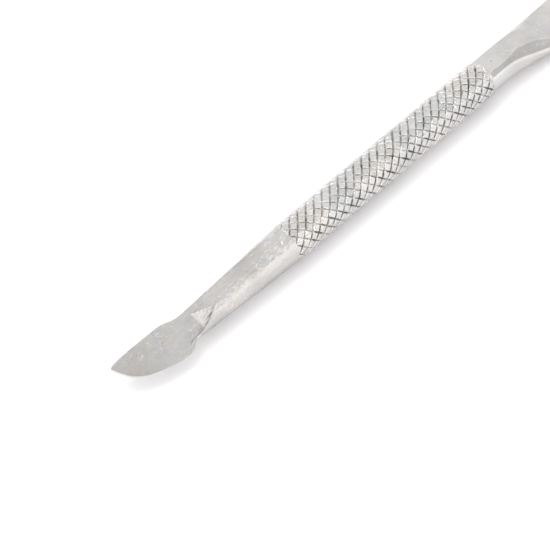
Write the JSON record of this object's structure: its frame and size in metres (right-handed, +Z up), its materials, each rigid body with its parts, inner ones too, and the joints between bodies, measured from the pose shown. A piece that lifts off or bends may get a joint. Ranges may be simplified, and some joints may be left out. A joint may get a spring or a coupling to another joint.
{
  "type": "cuticle pusher",
  "caption": "Double-ended steel cuticle pusher: knurled round grip, tapered neck with a leaf-shaped scraping blade, and a wide thin spoon for pushing",
  "frame": {"origin": "On the surface the tool lies on, under the middle of its overall length and width", "axes": "+X along the tool from the scraping blade to the pushing spoon, +Y across it towards the blade's straight back, +Z up"},
  "size_m": [0.12, 0.009, 0.006],
  "materials": {
    "grip_steel": "knurled, bright, lightly worn crests",
    "blade_steel": "hand polished with fine scratches and small pits",
    "spoon_steel": "ground and polished"
  },
  "bodies": {
    "root": {"grip_barrel": "grip_steel", "blade_shank": "blade_steel", "pusher_shank": "spoon_steel"}
  },
  "joints": []
}
